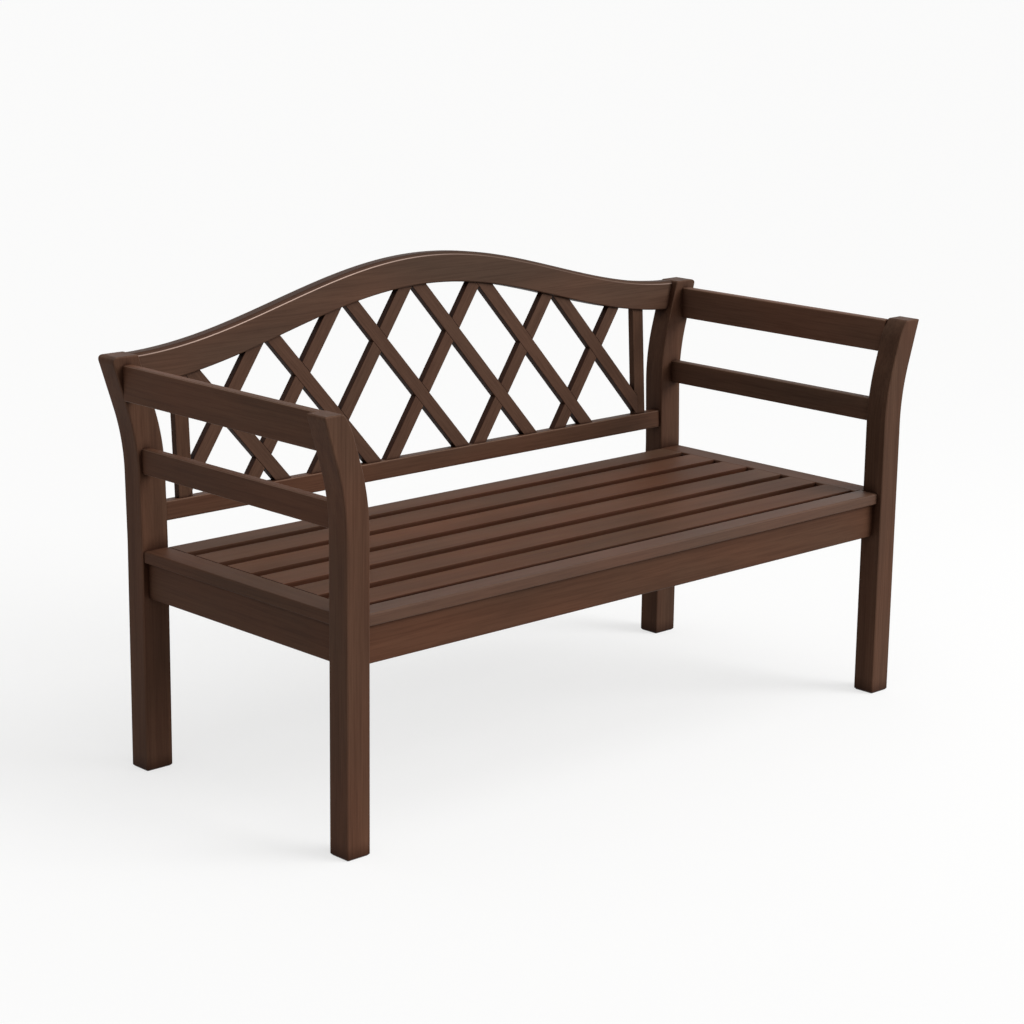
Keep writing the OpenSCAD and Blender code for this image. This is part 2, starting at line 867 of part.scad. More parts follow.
front_post(-1);  // post_front_left
front_post(1);  // post_front_right
back_post(-1);  // post_back_left
back_post(1);  // post_back_right
crest_rail();
back_lower_rail();
back_stile(-1);  // back_stile_left
back_stile(1);  // back_stile_right
for (i = [1 : len(lattice_x)]) {
    lattice_piece(i - 1, 1);
    lattice_piece(i - 1, -1);
}
arm_rail(-1);  // arm_rail_left
arm_rail(1);  // arm_rail_right
middle_rail(-1);  // middle_rail_left
middle_rail(1);  // middle_rail_right
apron_front();
apron_back();
side_apron(-1);  // apron_left
side_apron(1);  // apron_right
seat_front_board();
seat_back_board();
seat_end_board(-1);  // seat_end_board_left
seat_end_board(1);  // seat_end_board_right
for (i = [1 : slats])
    seat_slat(i);
bearer(-1);  // bearer_left
bearer(0);  // bearer_middle
bearer(1);  // bearer_right
cleat(-1);  // cleat_left
cleat(1);  // cleat_right
corner_block(true, -1);  // corner_block_front_left
corner_block(true, 1);  // corner_block_front_right
corner_block(false, -1);  // corner_block_back_left
corner_block(false, 1);  // corner_block_back_right
dowels();
seat_screws();
cleat_screws();
block_screws();
corner_bolts();
corner_washers();
corner_nuts();
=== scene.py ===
"""A two-seat garden bench in dark stained hardwood: humped crest rail, diagonal lattice back, flared legs
and a slatted seat, on a pale studio floor. Metres; X along the bench, the front faces -Y, Z up.
"""

import math

import bmesh
import bpy
from mathutils import Matrix, Vector


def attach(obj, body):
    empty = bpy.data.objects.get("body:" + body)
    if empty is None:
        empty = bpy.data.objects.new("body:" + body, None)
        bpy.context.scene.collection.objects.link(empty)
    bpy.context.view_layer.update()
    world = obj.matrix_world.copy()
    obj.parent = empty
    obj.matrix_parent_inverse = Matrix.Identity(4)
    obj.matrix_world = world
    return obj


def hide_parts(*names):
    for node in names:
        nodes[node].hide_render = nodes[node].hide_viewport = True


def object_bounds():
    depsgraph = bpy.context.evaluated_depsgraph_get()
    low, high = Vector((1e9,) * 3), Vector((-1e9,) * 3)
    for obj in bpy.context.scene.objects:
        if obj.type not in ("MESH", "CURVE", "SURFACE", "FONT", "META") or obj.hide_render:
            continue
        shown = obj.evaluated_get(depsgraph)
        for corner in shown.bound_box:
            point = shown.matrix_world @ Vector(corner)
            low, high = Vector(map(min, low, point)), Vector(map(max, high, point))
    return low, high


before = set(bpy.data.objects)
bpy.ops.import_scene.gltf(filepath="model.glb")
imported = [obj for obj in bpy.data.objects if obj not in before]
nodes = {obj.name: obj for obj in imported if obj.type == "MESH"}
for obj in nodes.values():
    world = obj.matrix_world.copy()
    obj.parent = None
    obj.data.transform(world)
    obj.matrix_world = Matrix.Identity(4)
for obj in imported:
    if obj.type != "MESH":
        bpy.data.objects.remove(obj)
cad_box = [list(corner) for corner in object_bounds()]

# Camera: a standing person's view from in front of the bench and off to its left end, a little
# rolled, looking down at the seat. It has no shift, so that other views keep the bench in frame.
EYE = Vector((-3.2646, -3.3845, 1.5779))
YAW, PITCH, ROLL = math.radians(43.62), math.radians(-13.73), math.radians(0.76)
FOCAL_PIXELS, FRAME_PIXELS = 2520.8, 1024
NEAREST, FARTHEST = 0.05, 200
forward = Vector((math.sin(YAW) * math.cos(PITCH), math.cos(YAW) * math.cos(PITCH), math.sin(PITCH)))
level = Vector((math.cos(YAW), -math.sin(YAW), 0))
upright = level.cross(forward)
right = level * math.cos(ROLL) + upright * math.sin(ROLL)
up = upright * math.cos(ROLL) - level * math.sin(ROLL)
camera = bpy.data.objects.new("camera", bpy.data.cameras.new("camera"))
bpy.context.scene.collection.objects.link(camera)
bpy.context.scene.camera = camera
camera.data.lens = camera.data.sensor_width * FOCAL_PIXELS / FRAME_PIXELS
camera.data.clip_start, camera.data.clip_end = NEAREST, FARTHEST
camera.matrix_world = Matrix.Translation(EYE) @ Matrix((right, up, -forward)).transposed().to_4x4()

# Studio floor: one wide sheet of white paper that glows a little, so that it shows near white and keeps
# the bench's soft shadow. To the bench it is a mid grey surround, so that undersides stay dark.


class Wire:
    """A socket in a tree of nodes. A sum written on it adds the nodes that work it out."""

    def __init__(self, tree, socket=None):
        self.tree = tree
        self.socket = socket

    def node(self, kind, settings=None, values=None, out=0):
        """A new node: its settings first, then the values or links of its sockets."""
        made = self.tree.nodes.new(kind)
        for name, value in (settings or {}).items():
            if name == "stops":
                stops = made.color_ramp.elements
                while len(stops) < len(value):
                    stops.new(1.0)
                for stop, (place, tone) in zip(stops, value):
                    stop.position, stop.color = place, tone
            else:
                setattr(made, name, value)
        for name, value in (values or {}).items():
            if isinstance(value, Wire):
                self.tree.links.new(value.socket, made.inputs[name])
            else:
                made.inputs[name].default_value = value
        return Wire(self.tree, made.outputs[out] if made.outputs else None)

    def maths(self, operation, *terms):
        return self.node("ShaderNodeMath", {"operation": operation}, dict(enumerate(terms)))

    def __add__(self, other):
        return self.maths("ADD", self, other)

    def __radd__(self, other):
        return self.maths("ADD", other, self)

    def __sub__(self, other):
        return self.maths("SUBTRACT", self, other)

    def __rsub__(self, other):
        return self.maths("SUBTRACT", other, self)

    def __mul__(self, other):
        return self.maths("MULTIPLY", self, other)

    def __rmul__(self, other):
        return self.maths("MULTIPLY", other, self)

    def __truediv__(self, other):
        return self.maths("DIVIDE", self, other)


def new_material(name):
    """An empty material, and a Wire to build its nodes with."""
    made = bpy.data.materials.new(name)
    made.use_nodes = True
    made.node_tree.nodes.clear()
    return made, Wire(made.node_tree)


def shown(wire):
    """1 for rays that show a surface to the camera, straight or by way of gloss or glass, else 0."""
    straight, mirrored, passed = [
        wire.node("ShaderNodeLightPath", out=f"Is {ray} Ray") for ray in ("Camera", "Glossy", "Transmission")
    ]
    return wire.maths("MAXIMUM", wire.maths("MAXIMUM", straight, mirrored), passed)


PAPER, PAPER_GLOW = (0.34, 0.34, 0.34, 1), (0.68, 0.68, 0.677, 1)
SURROUND = (0.5, 0.5, 0.5, 1)
FLOOR_REACH = 60.0
floor_material, wire = new_material("studio_floor")
matt = wire.node("ShaderNodeBsdfDiffuse", values={"Color": PAPER})
glow = wire.node("ShaderNodeEmission", values={"Color": PAPER_GLOW, "Strength": 1.0})
paper = wire.node("ShaderNodeAddShader", values={0: glow, 1: matt})
surround = wire.node("ShaderNodeBsdfDiffuse", values={"Color": SURROUND})
mixed = wire.node("ShaderNodeMixShader", values={0: shown(wire), 1: surround, 2: paper})
wire.node("ShaderNodeOutputMaterial", values={"Surface": mixed})

floor_mesh = bpy.data.meshes.new("studio_floor")
corners = [(x * FLOOR_REACH, y * FLOOR_REACH, 0) for x, y in ((-1, -1), (1, -1), (1, 1), (-1, 1))]
floor_mesh.from_pydata(corners, [], [(0, 1, 2, 3)])
floor_mesh.materials.append(floor_material)
floor = bpy.data.objects.new("studio_floor", floor_mesh)
bpy.context.scene.collection.objects.link(floor)

# Lights: a broad, low, soft key from the front right, a lamp box beyond the right-hand end that leaves
# that end a little brighter, a broad light from above that lays the shadow, and an even sky.


def hung(name, lamp):
    """An object that holds a lamp."""
    holder = bpy.data.objects.new(name, lamp)
    bpy.context.scene.collection.objects.link(holder)
    return holder


def soft_light(name, towards, strength, spread):
    """An even light from very far away, as broad as the spread, that shines from the given side."""
    lamp = bpy.data.lights.new(name, "SUN")
    lamp.energy, lamp.angle = strength, math.radians(spread)
    hung(name, lamp).rotation_euler = Vector(towards).to_track_quat("Z", "Y").to_euler()


soft_light("key_light", towards=(0.62, -0.9, 0.6), strength=1.58, spread=36)
soft_light("top_light", towards=(0.1, -0.3, 1.0), strength=0.64, spread=40)

BOX_PLACE, BOX_AIM = Vector((2.4, -2.4, 1.5)), Vector((0.6, 0, 0.4))
BOX_WATTS, BOX_WIDTH, BOX_HEIGHT = 21, 1.4, 1.0
lamp_box = bpy.data.lights.new("right_box", "AREA")
lamp_box.energy, lamp_box.shape = BOX_WATTS, "RECTANGLE"
lamp_box.size, lamp_box.size_y = BOX_WIDTH, BOX_HEIGHT
holder = hung("right_box", lamp_box)
holder.location = BOX_PLACE
holder.rotation_euler = (BOX_PLACE - BOX_AIM).to_track_quat("Z", "Y").to_euler()

SHOWN_SKY, SKY_STRENGTH = (0.955, 0.955, 0.95, 1), 0.39
world = bpy.data.worlds.new("studio_sky")
world.use_nodes = True
world.node_tree.nodes.clear()
wire = Wire(world.node_tree)
white = wire.node("ShaderNodeBackground", values={"Color": SHOWN_SKY, "Strength": 1.0})
lit = wire.node("ShaderNodeBackground", values={"Color": (1, 1, 1, 1), "Strength": SKY_STRENGTH})
mixed = wire.node("ShaderNodeMixShader", values={0: shown(wire), 1: lit, 2: white})
wire.node("ShaderNodeOutputWorld", values={"Surface": mixed})
bpy.context.scene.world = world
bpy.context.scene.view_settings.view_transform = "Standard"

# Legs: square hardwood, planed, straight to above the seat and then band-sawn along a curve so that
# they lean outwards at their tops; the back pair also leans back. Their arrises are eased, their feet
# chamfered, and the front pair narrows on its inner side just under the top. The stain is dark brown.

QUARTER = math.pi / 2
ALONG_X, ALONG_Y, ALONG_Z = (0, 0, 0), (0, 0, QUARTER), (0, -QUARTER, 0)
STAIN, STAIN_SWING = (0.101, 0.0485, 0.0296), (0.021, 0.0115, 0.0072)
WARMER = (0.0, 0.002, 0.0022)
# The first colour lightens the arrises, partly real wear and partly a painted highlight; the second is a
# painted highlight line.
WORN_AND_HIGHLIT_WOOD, PAINTED_HIGHLIGHT = (0.36, 0.235, 0.17, 1), (0.72, 0.52, 0.43, 1)
# The first colour is painted shade on the sides that face along one axis; the second is painted shade in
# corners.
SIDE_SHADE, CORNER_SHADE = (0.40, 0.29, 0.24, 1), (0.30, 0.22, 0.19)
PORE_STAIN, DARK_CLOUD, WARM_CLOUD = (0.62, 0.58, 0.56), (0.86, 0.93, 0.94), (1.12, 1.03, 0.98)
BLACK, WHITE = (0, 0, 0), (1, 1, 1)
MIX_SHARE, MIX_BELOW, MIX_ABOVE, MIX_RESULT = 0, 6, 7, 2


def along_grain(wire, vector, grain):
    """A vector in the timber's own directions, with X along its grain."""
    return wire.node("ShaderNodeMapping", {"vector_type": "TEXTURE"}, {"Vector": vector, "Rotation": grain})


def grain_noise(wire, place, seed, stretch, detail, rough=0.5, swirl=0.0):
    """Noise drawn out along the grain, from a part of the timber that is the seed's own."""
    place = wire.node("ShaderNodeMapping", values={
        "Vector": place, "Location": (0.37 * seed, 0.61 * seed, 0.23 * seed), "Scale": stretch,
    })
    return wire.node("ShaderNodeTexNoise", values={
        "Vector": place, "Scale": 1.0, "Detail": detail, "Roughness": rough, "Distortion": swirl,
    })


def widened(noise, start, gain):
    """Noise that mostly keeps to its middle, widened to the whole way from 0 to 1."""
    return (noise - start) * gain


def ramp(wire, fac, *stops):
    """Grey or coloured stops along a value."""
    opaque = [(at, (*tone, 1)) for at, tone in stops]
    return wire.node("ShaderNodeValToRGB", {"stops": opaque}, {"Fac": fac})


def rising(wire, value, start, end, low=0.0, high=1.0):
    """A value that goes from low to high while another goes from its start to its end."""
    return wire.node("ShaderNodeMapRange", values={
        "Value": value, "From Min": start, "From Max": end, "To Min": low, "To Max": high,
    })


def blended(wire, share, below, above, way="MIX"):
    """A step from one colour to another, or to their product."""
    return wire.node(
        "ShaderNodeMix", {"data_type": "RGBA", "blend_type": way},
        {MIX_SHARE: share, MIX_BELOW: below, MIX_ABOVE: above}, out=MIX_RESULT,
    )


def multiplied(wire, share, below, above):
    """One colour multiplied by another, in part."""
    return blended(wire, share, below, above, "MULTIPLY")


def parts(wire, vector):
    """The three numbers of a vector."""
    return [wire.node("ShaderNodeSeparateXYZ", values={0: vector}, out=axis) for axis in "XYZ"]


def stained_wood(
    name, grain, seed, tone=1.0, warmth=0.0, sheen=0.05, depth=0.6, clouding=1.0, wear_and_highlight=0.1, side=1,
    side_shade=0.0, highlight_line=0.0, corner_reach=0.014,
):
    """Stained hardwood with its grain along one axis, or turned to a slope.

    The figure is as deep as depth says, and the arrises are lighter, partly real wear and partly a
    painted highlight. Painted shade darkens the corners between pieces and, where asked, the sides
    that face along Y or Z. A highlight line, where set, is a painted light line where a front face
    begins to round over towards its top.
    """
    made, wire = new_material("stained_" + name)
    place = along_grain(wire, wire.node("ShaderNodeTexCoord", out="Object"), grain)
    figure = grain_noise(wire, place, seed, stretch=(1.5, 44, 44), detail=5.0, rough=0.62, swirl=0.3)
    pores = grain_noise(wire, place, seed + 0.4, stretch=(9, 330, 330), detail=3.0, rough=0.62)
    slow = grain_noise(wire, place, seed + 0.7, stretch=(2.4, 7, 7), detail=2.0)

    facing = parts(wire, along_grain(wire, wire.node("ShaderNodeNewGeometry", out="Normal"), grain))
    squareness = [wire.maths("ABSOLUTE", part) for part in facing]
    squarest = wire.maths("MAXIMUM", wire.maths("MAXIMUM", squareness[0], squareness[1]), squareness[2])
    arris = rising(wire, squarest, 0.93, 0.72)

    middle = [base - warmth * step for base, step in zip(STAIN, WARMER)]
    dark, light = [
        (*[(base + way * depth * swing) * tone for base, swing in zip(middle, STAIN_SWING)], 1)
        for way in (-1, 1)
    ]
    coloured = blended(wire, widened(figure, 0.33, 2.6), dark, light)
    coloured = multiplied(wire, 0.5, coloured, ramp(wire, pores, (0.34, PORE_STAIN), (0.56, WHITE)))
    clouds = ramp(wire, slow, (0.32, DARK_CLOUD), (0.68, WARM_CLOUD))
    coloured = multiplied(wire, clouding, coloured, clouds)
    # Rounded arrises lightened: partly real wear, partly a painted highlight.
    coloured = blended(wire, arris * (wear_and_highlight * 0.5 + pores * wear_and_highlight), coloured, WORN_AND_HIGHLIT_WOOD)
    # Painted shade: the sides that face along the chosen axis are darkened.
    if side_shade:
        turned_aside = rising(wire, squareness[side], 0.25, 0.7, high=side_shade)
        coloured = multiplied(wire, turned_aside, coloured, SIDE_SHADE)
    # Painted highlight: a light line along the front-top rounding, stronger where the surface turns to the
    # left.
    if highlight_line:
        rounding = ramp(wire, squareness[1], (0.89, BLACK), (0.94, WHITE), (0.97, WHITE), (0.99, BLACK))
        upward = rising(wire, facing[2], 0.08, 0.16)
        leftward = rising(wire, facing[0], 0.04, -0.06, low=0.12)
        coloured = blended(wire, rounding * upward * leftward * highlight_line, coloured, PAINTED_HIGHLIGHT)
    # Painted shade: the colour darkens where ambient occlusion finds nearby parts, in corners and joints.
    openness = wire.node("ShaderNodeAmbientOcclusion", {"samples": 8}, {"Distance": corner_reach}, out="AO")
    coloured = multiplied(wire, 1.0, coloured, ramp(wire, openness, (0.45, CORNER_SHADE), (0.85, WHITE)))

    relief = wire.node("ShaderNodeBump", values={
        "Strength": 0.2, "Distance": 0.0005, "Height": pores * 0.7 + figure * 0.3,
    })
    surface = wire.node("ShaderNodeBsdfPrincipled", values={
        "Base Color": coloured, "Roughness": 0.42 + pores * 0.16 - arris * 0.08, "Normal": relief,
        "Specular IOR Level": sheen,
    })
    wire.node("ShaderNodeOutputMaterial", values={"Surface": surface})
    return made


def finish_node(name, material):
    """Give a CAD node its finish."""
    mesh = nodes[name].data
    mesh.materials.clear()
    mesh.materials.append(material)


def new_tree(name, sizes):
    """An empty geometry tree, a Wire to build it with, and its inputs: one for each size, and the wood."""
    tree = bpy.data.node_groups.new(name, "GeometryNodeTree")
    for label in sizes:
        tree.interface.new_socket(label, in_out="INPUT", socket_type="NodeSocketFloat")
    tree.interface.new_socket("Wood", in_out="INPUT", socket_type="NodeSocketMaterial")
    tree.interface.new_socket("Geometry", in_out="OUTPUT", socket_type="NodeSocketGeometry")
    entry = tree.nodes.new("NodeGroupInput")
    return tree, Wire(tree), {label: Wire(tree, entry.outputs[label]) for label in (*sizes, "Wood")}


def grown(name, tree, sizes):
    """A plain mesh object, grown by a geometry tree from its named sizes."""
    piece = bpy.data.objects.new(name, bpy.data.meshes.new(name))
    bpy.context.scene.collection.objects.link(piece)
    modifier = piece.modifiers.new("shape", "NODES")
    modifier.node_group = tree
    for item in tree.interface.items_tree:
        if item.item_type == "SOCKET" and item.in_out == "INPUT":
            modifier[item.identifier] = sizes[item.name]
    shape = bpy.data.meshes.new_from_object(piece.evaluated_get(bpy.context.evaluated_depsgraph_get()))
    piece.modifiers.clear()
    piece.data = shape
    return piece


def bar(wire, start, end, sections, outline):
    """A closed bar of many sections between two points, with its outline across it."""
    spine = wire.node("GeometryNodeCurvePrimitiveLine", values={"Start": start, "End": end})
    spine = wire.node("GeometryNodeResampleCurve", values={"Curve": spine, "Count": sections})
    return wire.node(
        "GeometryNodeCurveToMesh", values={"Curve": spine, "Profile Curve": outline, "Fill Caps": True}
    )


def rectangle(wire, width, height, corner_steps, radius):
    """A rectangle with rounded corners."""
    outline = wire.node("GeometryNodeCurvePrimitiveQuadrilateral", {"mode": "RECTANGLE"}, {
        "Width": width, "Height": height,
    })
    return wire.node("GeometryNodeFilletCurve", {"mode": "POLY"}, {
        "Curve": outline, "Count": corner_steps, "Radius": radius,
    })


def set_in_place(wire, shape, places, wood):
    """Move each point of a shape to its place, give it its wood, and end the tree."""
    position = wire.node("ShaderNodeCombineXYZ", values=dict(enumerate(places)))
    shape = wire.node("GeometryNodeSetPosition", values={"Geometry": shape, "Position": position})
    shape = wire.node("GeometryNodeRealizeInstances", values={"Geometry": shape})
    shape = wire.node("GeometryNodeSetMaterial", values={"Geometry": shape, "Material": wood})
    wire.node("NodeGroupOutput", values={"Geometry": shape})


def squared(value):
    return value * value


def above_zero(wire, value):
    return wire.maths("MAXIMUM", value, 0.0)


def round_over(wire, radius, depth):
    """How far a rounded corner has drawn in at a depth past its start."""
    return radius - wire.maths("SQRT", above_zero(wire, squared(radius) - squared(depth)))


def flare(wire, size, height):
    """How far a leg has moved outwards at a height: straight, then along an arc, then straight again."""
    climb = above_zero(wire, height - size["Curve Start"])
    arc_reach = size["Curve Radius"] * wire.maths("SINE", size["Curve End Slope"])
    on_arc = wire.maths("MINIMUM", climb, arc_reach)
    straight = (climb - on_arc) * wire.maths("TANGENT", size["Curve End Slope"])
    return round_over(wire, size["Curve Radius"], on_arc) + straight


REAL_CORNER = math.radians(35)


def smooth_faces(piece):
    """Points merged, faces turned outwards, and shading smooth but for real corners and flat faces."""
    mesh = piece.data
    shell = bmesh.new()
    shell.from_mesh(mesh)
    bmesh.ops.remove_doubles(shell, verts=shell.verts, dist=1e-6)
    bmesh.ops.recalc_face_normals(shell, faces=shell.faces)
    shell.to_mesh(mesh)
    shell.free()
    mesh.shade_smooth()
    mesh.set_sharp_from_angle(angle=REAL_CORNER)
    flattening = piece.modifiers.new("flat_faces", "WEIGHTED_NORMAL")
    flattening.keep_sharp = True
    depsgraph = bpy.context.evaluated_depsgraph_get()
    shaded = bpy.data.meshes.new_from_object(
        piece.evaluated_get(depsgraph), preserve_all_data_layers=True, depsgraph=depsgraph
    )
    piece.modifiers.clear()
    piece.data = shaded


HALF_DEPTH = cad_box[1][1]
LEG_CURVE = {"Curve Start": 0.558, "Curve Radius": 0.410, "Curve End Slope": math.radians(17.2)}
EVERY_LEG = {
    "Depth": 0.048, **LEG_CURVE, "Lean Start": 0.430, "Taper Height": 0.040, "Eased Edge": 0.003,
    "Foot Chamfer": 0.003,
}
FRONT_LEG = {
    "Width": 0.050, "Height": 0.767, "Outer Face": 0.722, "Front Face": -HALF_DEPTH, "Lean": 0.0,
    "Top Corner": 0.006, "Top Taper": 0.010,
}
BACK_LEG = {
    "Width": 0.058, "Height": 0.778, "Outer Face": 0.711, "Front Face": 0.589 - HALF_DEPTH,
    "Lean": math.radians(1.8), "Top Corner": 0.014, "Top Taper": 0.0,
}
LEG_SECTIONS = 170
leg_tree, wire, size = new_tree("flared_leg", (*EVERY_LEG, *FRONT_LEG, "Side"))
outline = rectangle(wire, size["Width"], size["Depth"], 4, size["Eased Edge"])
prism = bar(wire, (0, 0, 0), (0, 0, 1), LEG_SECTIONS, outline)
across, through, share = parts(wire, wire.node("GeometryNodeInputPosition"))
height = (0.5 - wire.maths("COSINE", share * math.pi) * 0.5) * size["Height"]
from_top = height - size["Height"]
chamfer = above_zero(wire, size["Foot Chamfer"] - height)
easing = round_over(wire, size["Eased Edge"], above_zero(wire, from_top + size["Eased Edge"]))
inset = wire.maths("MAXIMUM", chamfer, easing)
shoulder = round_over(wire, size["Top Corner"], above_zero(wire, from_top + size["Top Corner"]))
narrowed = across * (1 - 2 * inset / size["Width"])
clipped = wire.maths("MINIMUM", narrowed, size["Width"] * 0.5 - shoulder)
taper_share = above_zero(wire, from_top + size["Taper Height"]) / size["Taper Height"]
tapered = clipped + squared(taper_share) * size["Top Taper"] * (0.5 - across / size["Width"])
leaned = above_zero(wire, height - size["Lean Start"]) * wire.maths("TANGENT", size["Lean"])
set_in_place(wire, prism, (
    (tapered + size["Outer Face"] - size["Width"] * 0.5 + flare(wire, size, height)) * size["Side"],
    through * (1 - 2 * inset / size["Depth"]) + size["Front Face"] + size["Depth"] * 0.5 + leaned,
    height,
), size["Wood"])

LEGS = (
    ("front_left", FRONT_LEG, -1.0, 1.07), ("front_right", FRONT_LEG, 1.0, 1.02),
    ("back_left", BACK_LEG, -1.0, 1.0), ("back_right", BACK_LEG, 1.0, 0.96),
)
for seed, (place, leg, side, tone) in enumerate(LEGS, start=3):
    name = "post_" + place
    wood = stained_wood(name, ALONG_Z, seed, tone, warmth=-0.6, depth=0.9, corner_reach=0.045)
    piece = grown("leg_" + place, leg_tree, {**EVERY_LEG, **leg, "Side": side, "Wood": wood})
    smooth_faces(piece)
    finish_node(name, wood)
    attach(piece, "root")
    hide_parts(name)

# Side frames: on each side an arm rail, a middle rail and an apron under the seat, of the same wood
# with the grain along the rail, tenoned into the legs and set a little in from their outer faces. The
# right-hand rails are coloured lighter, which is painted light on their inner faces. Each has its tone,
# warmth, and edge wear that is partly a painted highlight.
SIDE_FRAMES = {
    "arm_rail_left": (1.12, -0.5, 0.35), "arm_rail_right": (1.42, -2.5, 0.35),
    "middle_rail_left": (1.0, -0.3, 0.35), "middle_rail_right": (1.25, -2.0, 0.35),
    "apron_left": (1.0, -0.3, 0.0), "apron_right": (1.1, -0.3, 0.0),
}
for seed, (name, (tone, warmth, wear_and_highlight)) in enumerate(SIDE_FRAMES.items(), start=11):
    finish_node(name, stained_wood(name, ALONG_Y, seed, tone, warmth, wear_and_highlight=wear_and_highlight, corner_reach=0.03))

# Front and back aprons: broad boards on edge that join the legs under the seat, held with dowels.
# They have the same stain as the legs, a little warmer, and their arrises are neither worn nor given a
# painted highlight.
for seed, name in enumerate(("apron_front", "apron_back"), start=21):
    finish_node(name, stained_wood(name, ALONG_X, seed, warmth=0.5, wear_and_highlight=0.0))

# Seat: a front board, and behind it five slats and a back board between two end boards that run front
# to back. Each board was cut and stained by itself, so its tone and warmth differ from its neighbours'.
SEAT_BOARDS = {
    "seat_front_board": (1.07, -1.2), "seat_slat_1": (1.18, 0.4), "seat_slat_2": (1.24, -0.4),
    "seat_slat_3": (1.28, -1.2), "seat_slat_4": (1.22, 0.4), "seat_slat_5": (1.28, -0.4),
    "seat_back_board": (1.22, -1.2),
}
for seed, (name, (tone, warmth)) in enumerate(SEAT_BOARDS.items(), start=31):
    # The slats' front and back sides are darkened with painted shade, as shade in the gaps between the
    # boards.
    sheen, side_shade = (0.15, 0.0) if name == "seat_front_board" else (0.03, 0.9)
    finish_node(name, stained_wood(
        name, ALONG_X, seed, tone, warmth, sheen, wear_and_highlight=0.0, side=1, side_shade=side_shade
    ))
for seed, name in enumerate(("seat_end_board_left", "seat_end_board_right"), start=41):
    finish_node(name, stained_wood(name, ALONG_Y, seed, warmth=-0.3, wear_and_highlight=0.0))

# Back panel: a lower rail, two stiles and twelve lattice slats, halved over each other where they
# cross, with the grain along each one. The slats' edges, which face up and down, are darkened with painted
# shade.
finish_node("back_lower_rail", stained_wood("back_lower_rail", ALONG_X, 51, tone=0.97, wear_and_highlight=0.35))
for seed, name in enumerate(("back_stile_left", "back_stile_right"), start=53):
    finish_node(name, stained_wood(name, ALONG_Z, seed, tone=0.95, wear_and_highlight=0.25))
for number in range(6):
    for way, slope, first_seed in (("rising", 54.5, 61), ("falling", -49.0, 60)):
        name = f"lattice_{way}_{number + 1}"
        finish_node(name, stained_wood(
            name, (0, -math.radians(slope), 0), first_seed + 2 * number, warmth=-2.0, depth=0.45,
            clouding=0.3, side=2, side_shade=0.95,
        ))

# Crest rail: one board sawn to a hump along its top and its underside, between the back legs. Its top
# arrises are well rounded where hands hold it, and its ends are tenoned into the legs.
CREST = {
    "Thickness": 0.036, "Height": 0.061, "Leg Inside": 0.653, "Hump": 0.120, "Hump Reach": 0.720,
    "Top Round": 0.008, "Eased Edge": 0.003, "Panel Front": 0.598 - HALF_DEPTH, "Panel Foot": 0.502,
    "Panel Rake": math.radians(3.4), "Top Level": 0.27649, **LEG_CURVE,
}
CREST_SECTIONS = 280
crest_tree, wire, size = new_tree("humped_crest", CREST)
through, level_up, share = parts(wire, wire.node("GeometryNodeInputPosition"))
upper = wire.maths("GREATER_THAN", level_up, 0.0)
rounding = size["Eased Edge"] + upper * (size["Top Round"] - size["Eased Edge"])
outline = rectangle(wire, size["Thickness"], size["Height"], 6, rounding)
board = bar(wire, (0, 0, -0.5), (0, 0, 0.5), CREST_SECTIONS, outline)
rake_across, rake_up = wire.maths("SINE", size["Panel Rake"]), wire.maths("COSINE", size["Panel Rake"])
behind = through + size["Thickness"] * 0.5
unlifted = size["Top Level"] - size["Height"] * 0.5 + level_up
end_height = size["Panel Foot"] + unlifted * rake_up - behind * rake_across
along = 2 * share * (size["Leg Inside"] + flare(wire, size, end_height))
swing = wire.maths("MINIMUM", wire.maths("ABSOLUTE", along) / size["Hump Reach"], 1.0)
lifted = unlifted + size["Hump"] * (0.5 + 0.5 * wire.maths("COSINE", swing * math.pi))
set_in_place(wire, board, (
    along,
    size["Panel Front"] + behind * rake_up + lifted * rake_across,
    size["Panel Foot"] + lifted * rake_up - behind * rake_across,
), size["Wood"])

# The top and the underside are darkened with painted shade, and a painted highlight line runs along the
# front-top rounding.
wood = stained_wood(
    "crest_rail", ALONG_X, 81, tone=0.96, warmth=-3.0, wear_and_highlight=0.1, side=2, side_shade=0.6, highlight_line=0.95
)
crest = grown("humped_crest_rail", crest_tree, {**CREST, "Wood": wood})
smooth_faces(crest)
finish_node("crest_rail", wood)
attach(crest, "root")
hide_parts("crest_rail")

# Under-frame: bearers, cleats and corner blocks of the same hardwood, left as they came from the saw
# and only thinly stained, because nobody sees them. They are housed, screwed and bolted to the frame.
THIN_STAIN_DARK, THIN_STAIN_LIGHT = (0.105, 0.056, 0.032, 1), (0.19, 0.112, 0.068, 1)
FIBRE_STAIN, SAW_STAIN = (0.6, 0.56, 0.52), (0.7, 0.68, 0.66)


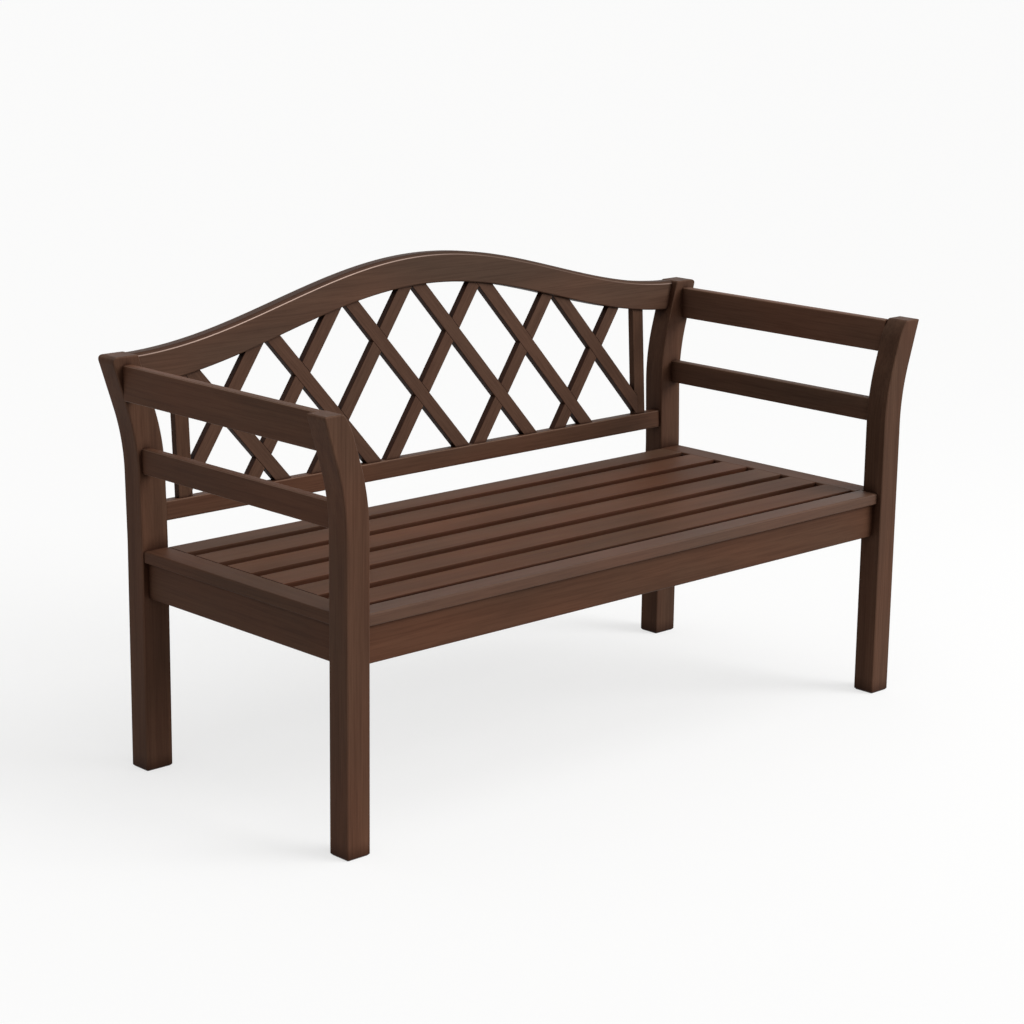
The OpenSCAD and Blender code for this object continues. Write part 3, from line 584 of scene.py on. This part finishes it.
def sawn_wood(name, grain, seed):
    """Thinly stained hardwood from the saw, with saw marks across its grain."""
    made, wire = new_material("sawn_" + name)
    place = along_grain(wire, wire.node("ShaderNodeTexCoord", out="Object"), grain)
    figure = grain_noise(wire, place, seed, stretch=(2.0, 55, 55), detail=5.0, rough=0.6, swirl=0.4)
    fibres = grain_noise(wire, place, seed + 0.5, stretch=(14, 420, 420), detail=3.0, rough=0.65)
    marks = wire.node("ShaderNodeTexWave", {"wave_type": "BANDS", "bands_direction": "X"}, {
        "Vector": place, "Scale": 130.0, "Distortion": 1.6, "Detail": 2.0, "Detail Scale": 0.4,
    }, out="Fac")
    coloured = blended(wire, widened(figure, 0.3, 2.2), THIN_STAIN_DARK, THIN_STAIN_LIGHT)
    coloured = multiplied(wire, 0.6, coloured, ramp(wire, fibres, (0.32, FIBRE_STAIN), (0.58, WHITE)))
    coloured = multiplied(wire, 0.35, coloured, ramp(wire, marks, (0.1, SAW_STAIN), (0.6, WHITE)))
    relief = wire.node("ShaderNodeBump", values={
        "Strength": 0.4, "Distance": 0.0006, "Height": fibres * 0.5 + marks * 0.5,
    })
    surface = wire.node("ShaderNodeBsdfPrincipled", values={
        "Base Color": coloured, "Roughness": 0.7 + fibres * 0.15, "Normal": relief,
        "Specular IOR Level": 0.15,
    })
    wire.node("ShaderNodeOutputMaterial", values={"Surface": surface})
    return made


for seed, name in enumerate((
    "bearer_left", "bearer_middle", "bearer_right", "cleat_left", "cleat_right", "corner_block_front_left",
    "corner_block_front_right", "corner_block_back_left", "corner_block_back_right",
), start=91):
    finish_node(name, sawn_wood(name, ALONG_X if "block" in name else ALONG_Y, seed))

# Dowels: plain round pegs of pale hardwood, glued into the aprons, the legs and the front board. They
# are hidden in the joints, so they have no stain.
PEG_DARK, PEG_LIGHT = (0.38, 0.22, 0.10, 1), (0.52, 0.34, 0.18, 1)
dowel_wood, wire = new_material("pale_dowel_wood")
place = wire.node("ShaderNodeTexCoord", out="Object")
fibres = grain_noise(wire, place, 105, stretch=(90, 160, 160), detail=4.0, rough=0.6)
coloured = blended(wire, widened(fibres, 0.3, 2.4), PEG_DARK, PEG_LIGHT)
surface = wire.node("ShaderNodeBsdfPrincipled", values={
    "Base Color": coloured, "Roughness": 0.6 + fibres * 0.15, "Specular IOR Level": 0.3,
    "Normal": wire.node("ShaderNodeBump", values={"Strength": 0.25, "Distance": 0.0003, "Height": fibres}),
})
wire.node("ShaderNodeOutputMaterial", values={"Surface": surface})
finish_node("dowels", dowel_wood)

# Screws and corner bolts, with their washers and nuts: zinc-plated steel with a dull, slightly cloudy
# sheen and faint turning marks. They are driven from below and from inside the frame.
ZINC_DARK, ZINC_LIGHT = (0.42, 0.43, 0.45, 1), (0.62, 0.62, 0.61, 1)
zinc_steel, wire = new_material("zinc_plated_steel")
place = wire.node("ShaderNodeTexCoord", out="Object")
cloud = grain_noise(wire, place, 111, stretch=(220, 220, 220), detail=4.0, rough=0.6)
turning = grain_noise(wire, place, 112, stretch=(900, 900, 2600), detail=2.0)
coloured = blended(wire, widened(cloud, 0.3, 2.4), ZINC_DARK, ZINC_LIGHT)
surface = wire.node("ShaderNodeBsdfPrincipled", values={
    "Base Color": coloured, "Metallic": 1.0, "Roughness": 0.3 + cloud * 0.22,
    "Normal": wire.node("ShaderNodeBump", values={"Strength": 0.15, "Distance": 0.0001, "Height": turning}),
})
wire.node("ShaderNodeOutputMaterial", values={"Surface": surface})
for name in ("seat_screws", "cleat_screws", "block_screws", "corner_bolts", "corner_washers", "corner_nuts"):
    finish_node(name, zinc_steel)
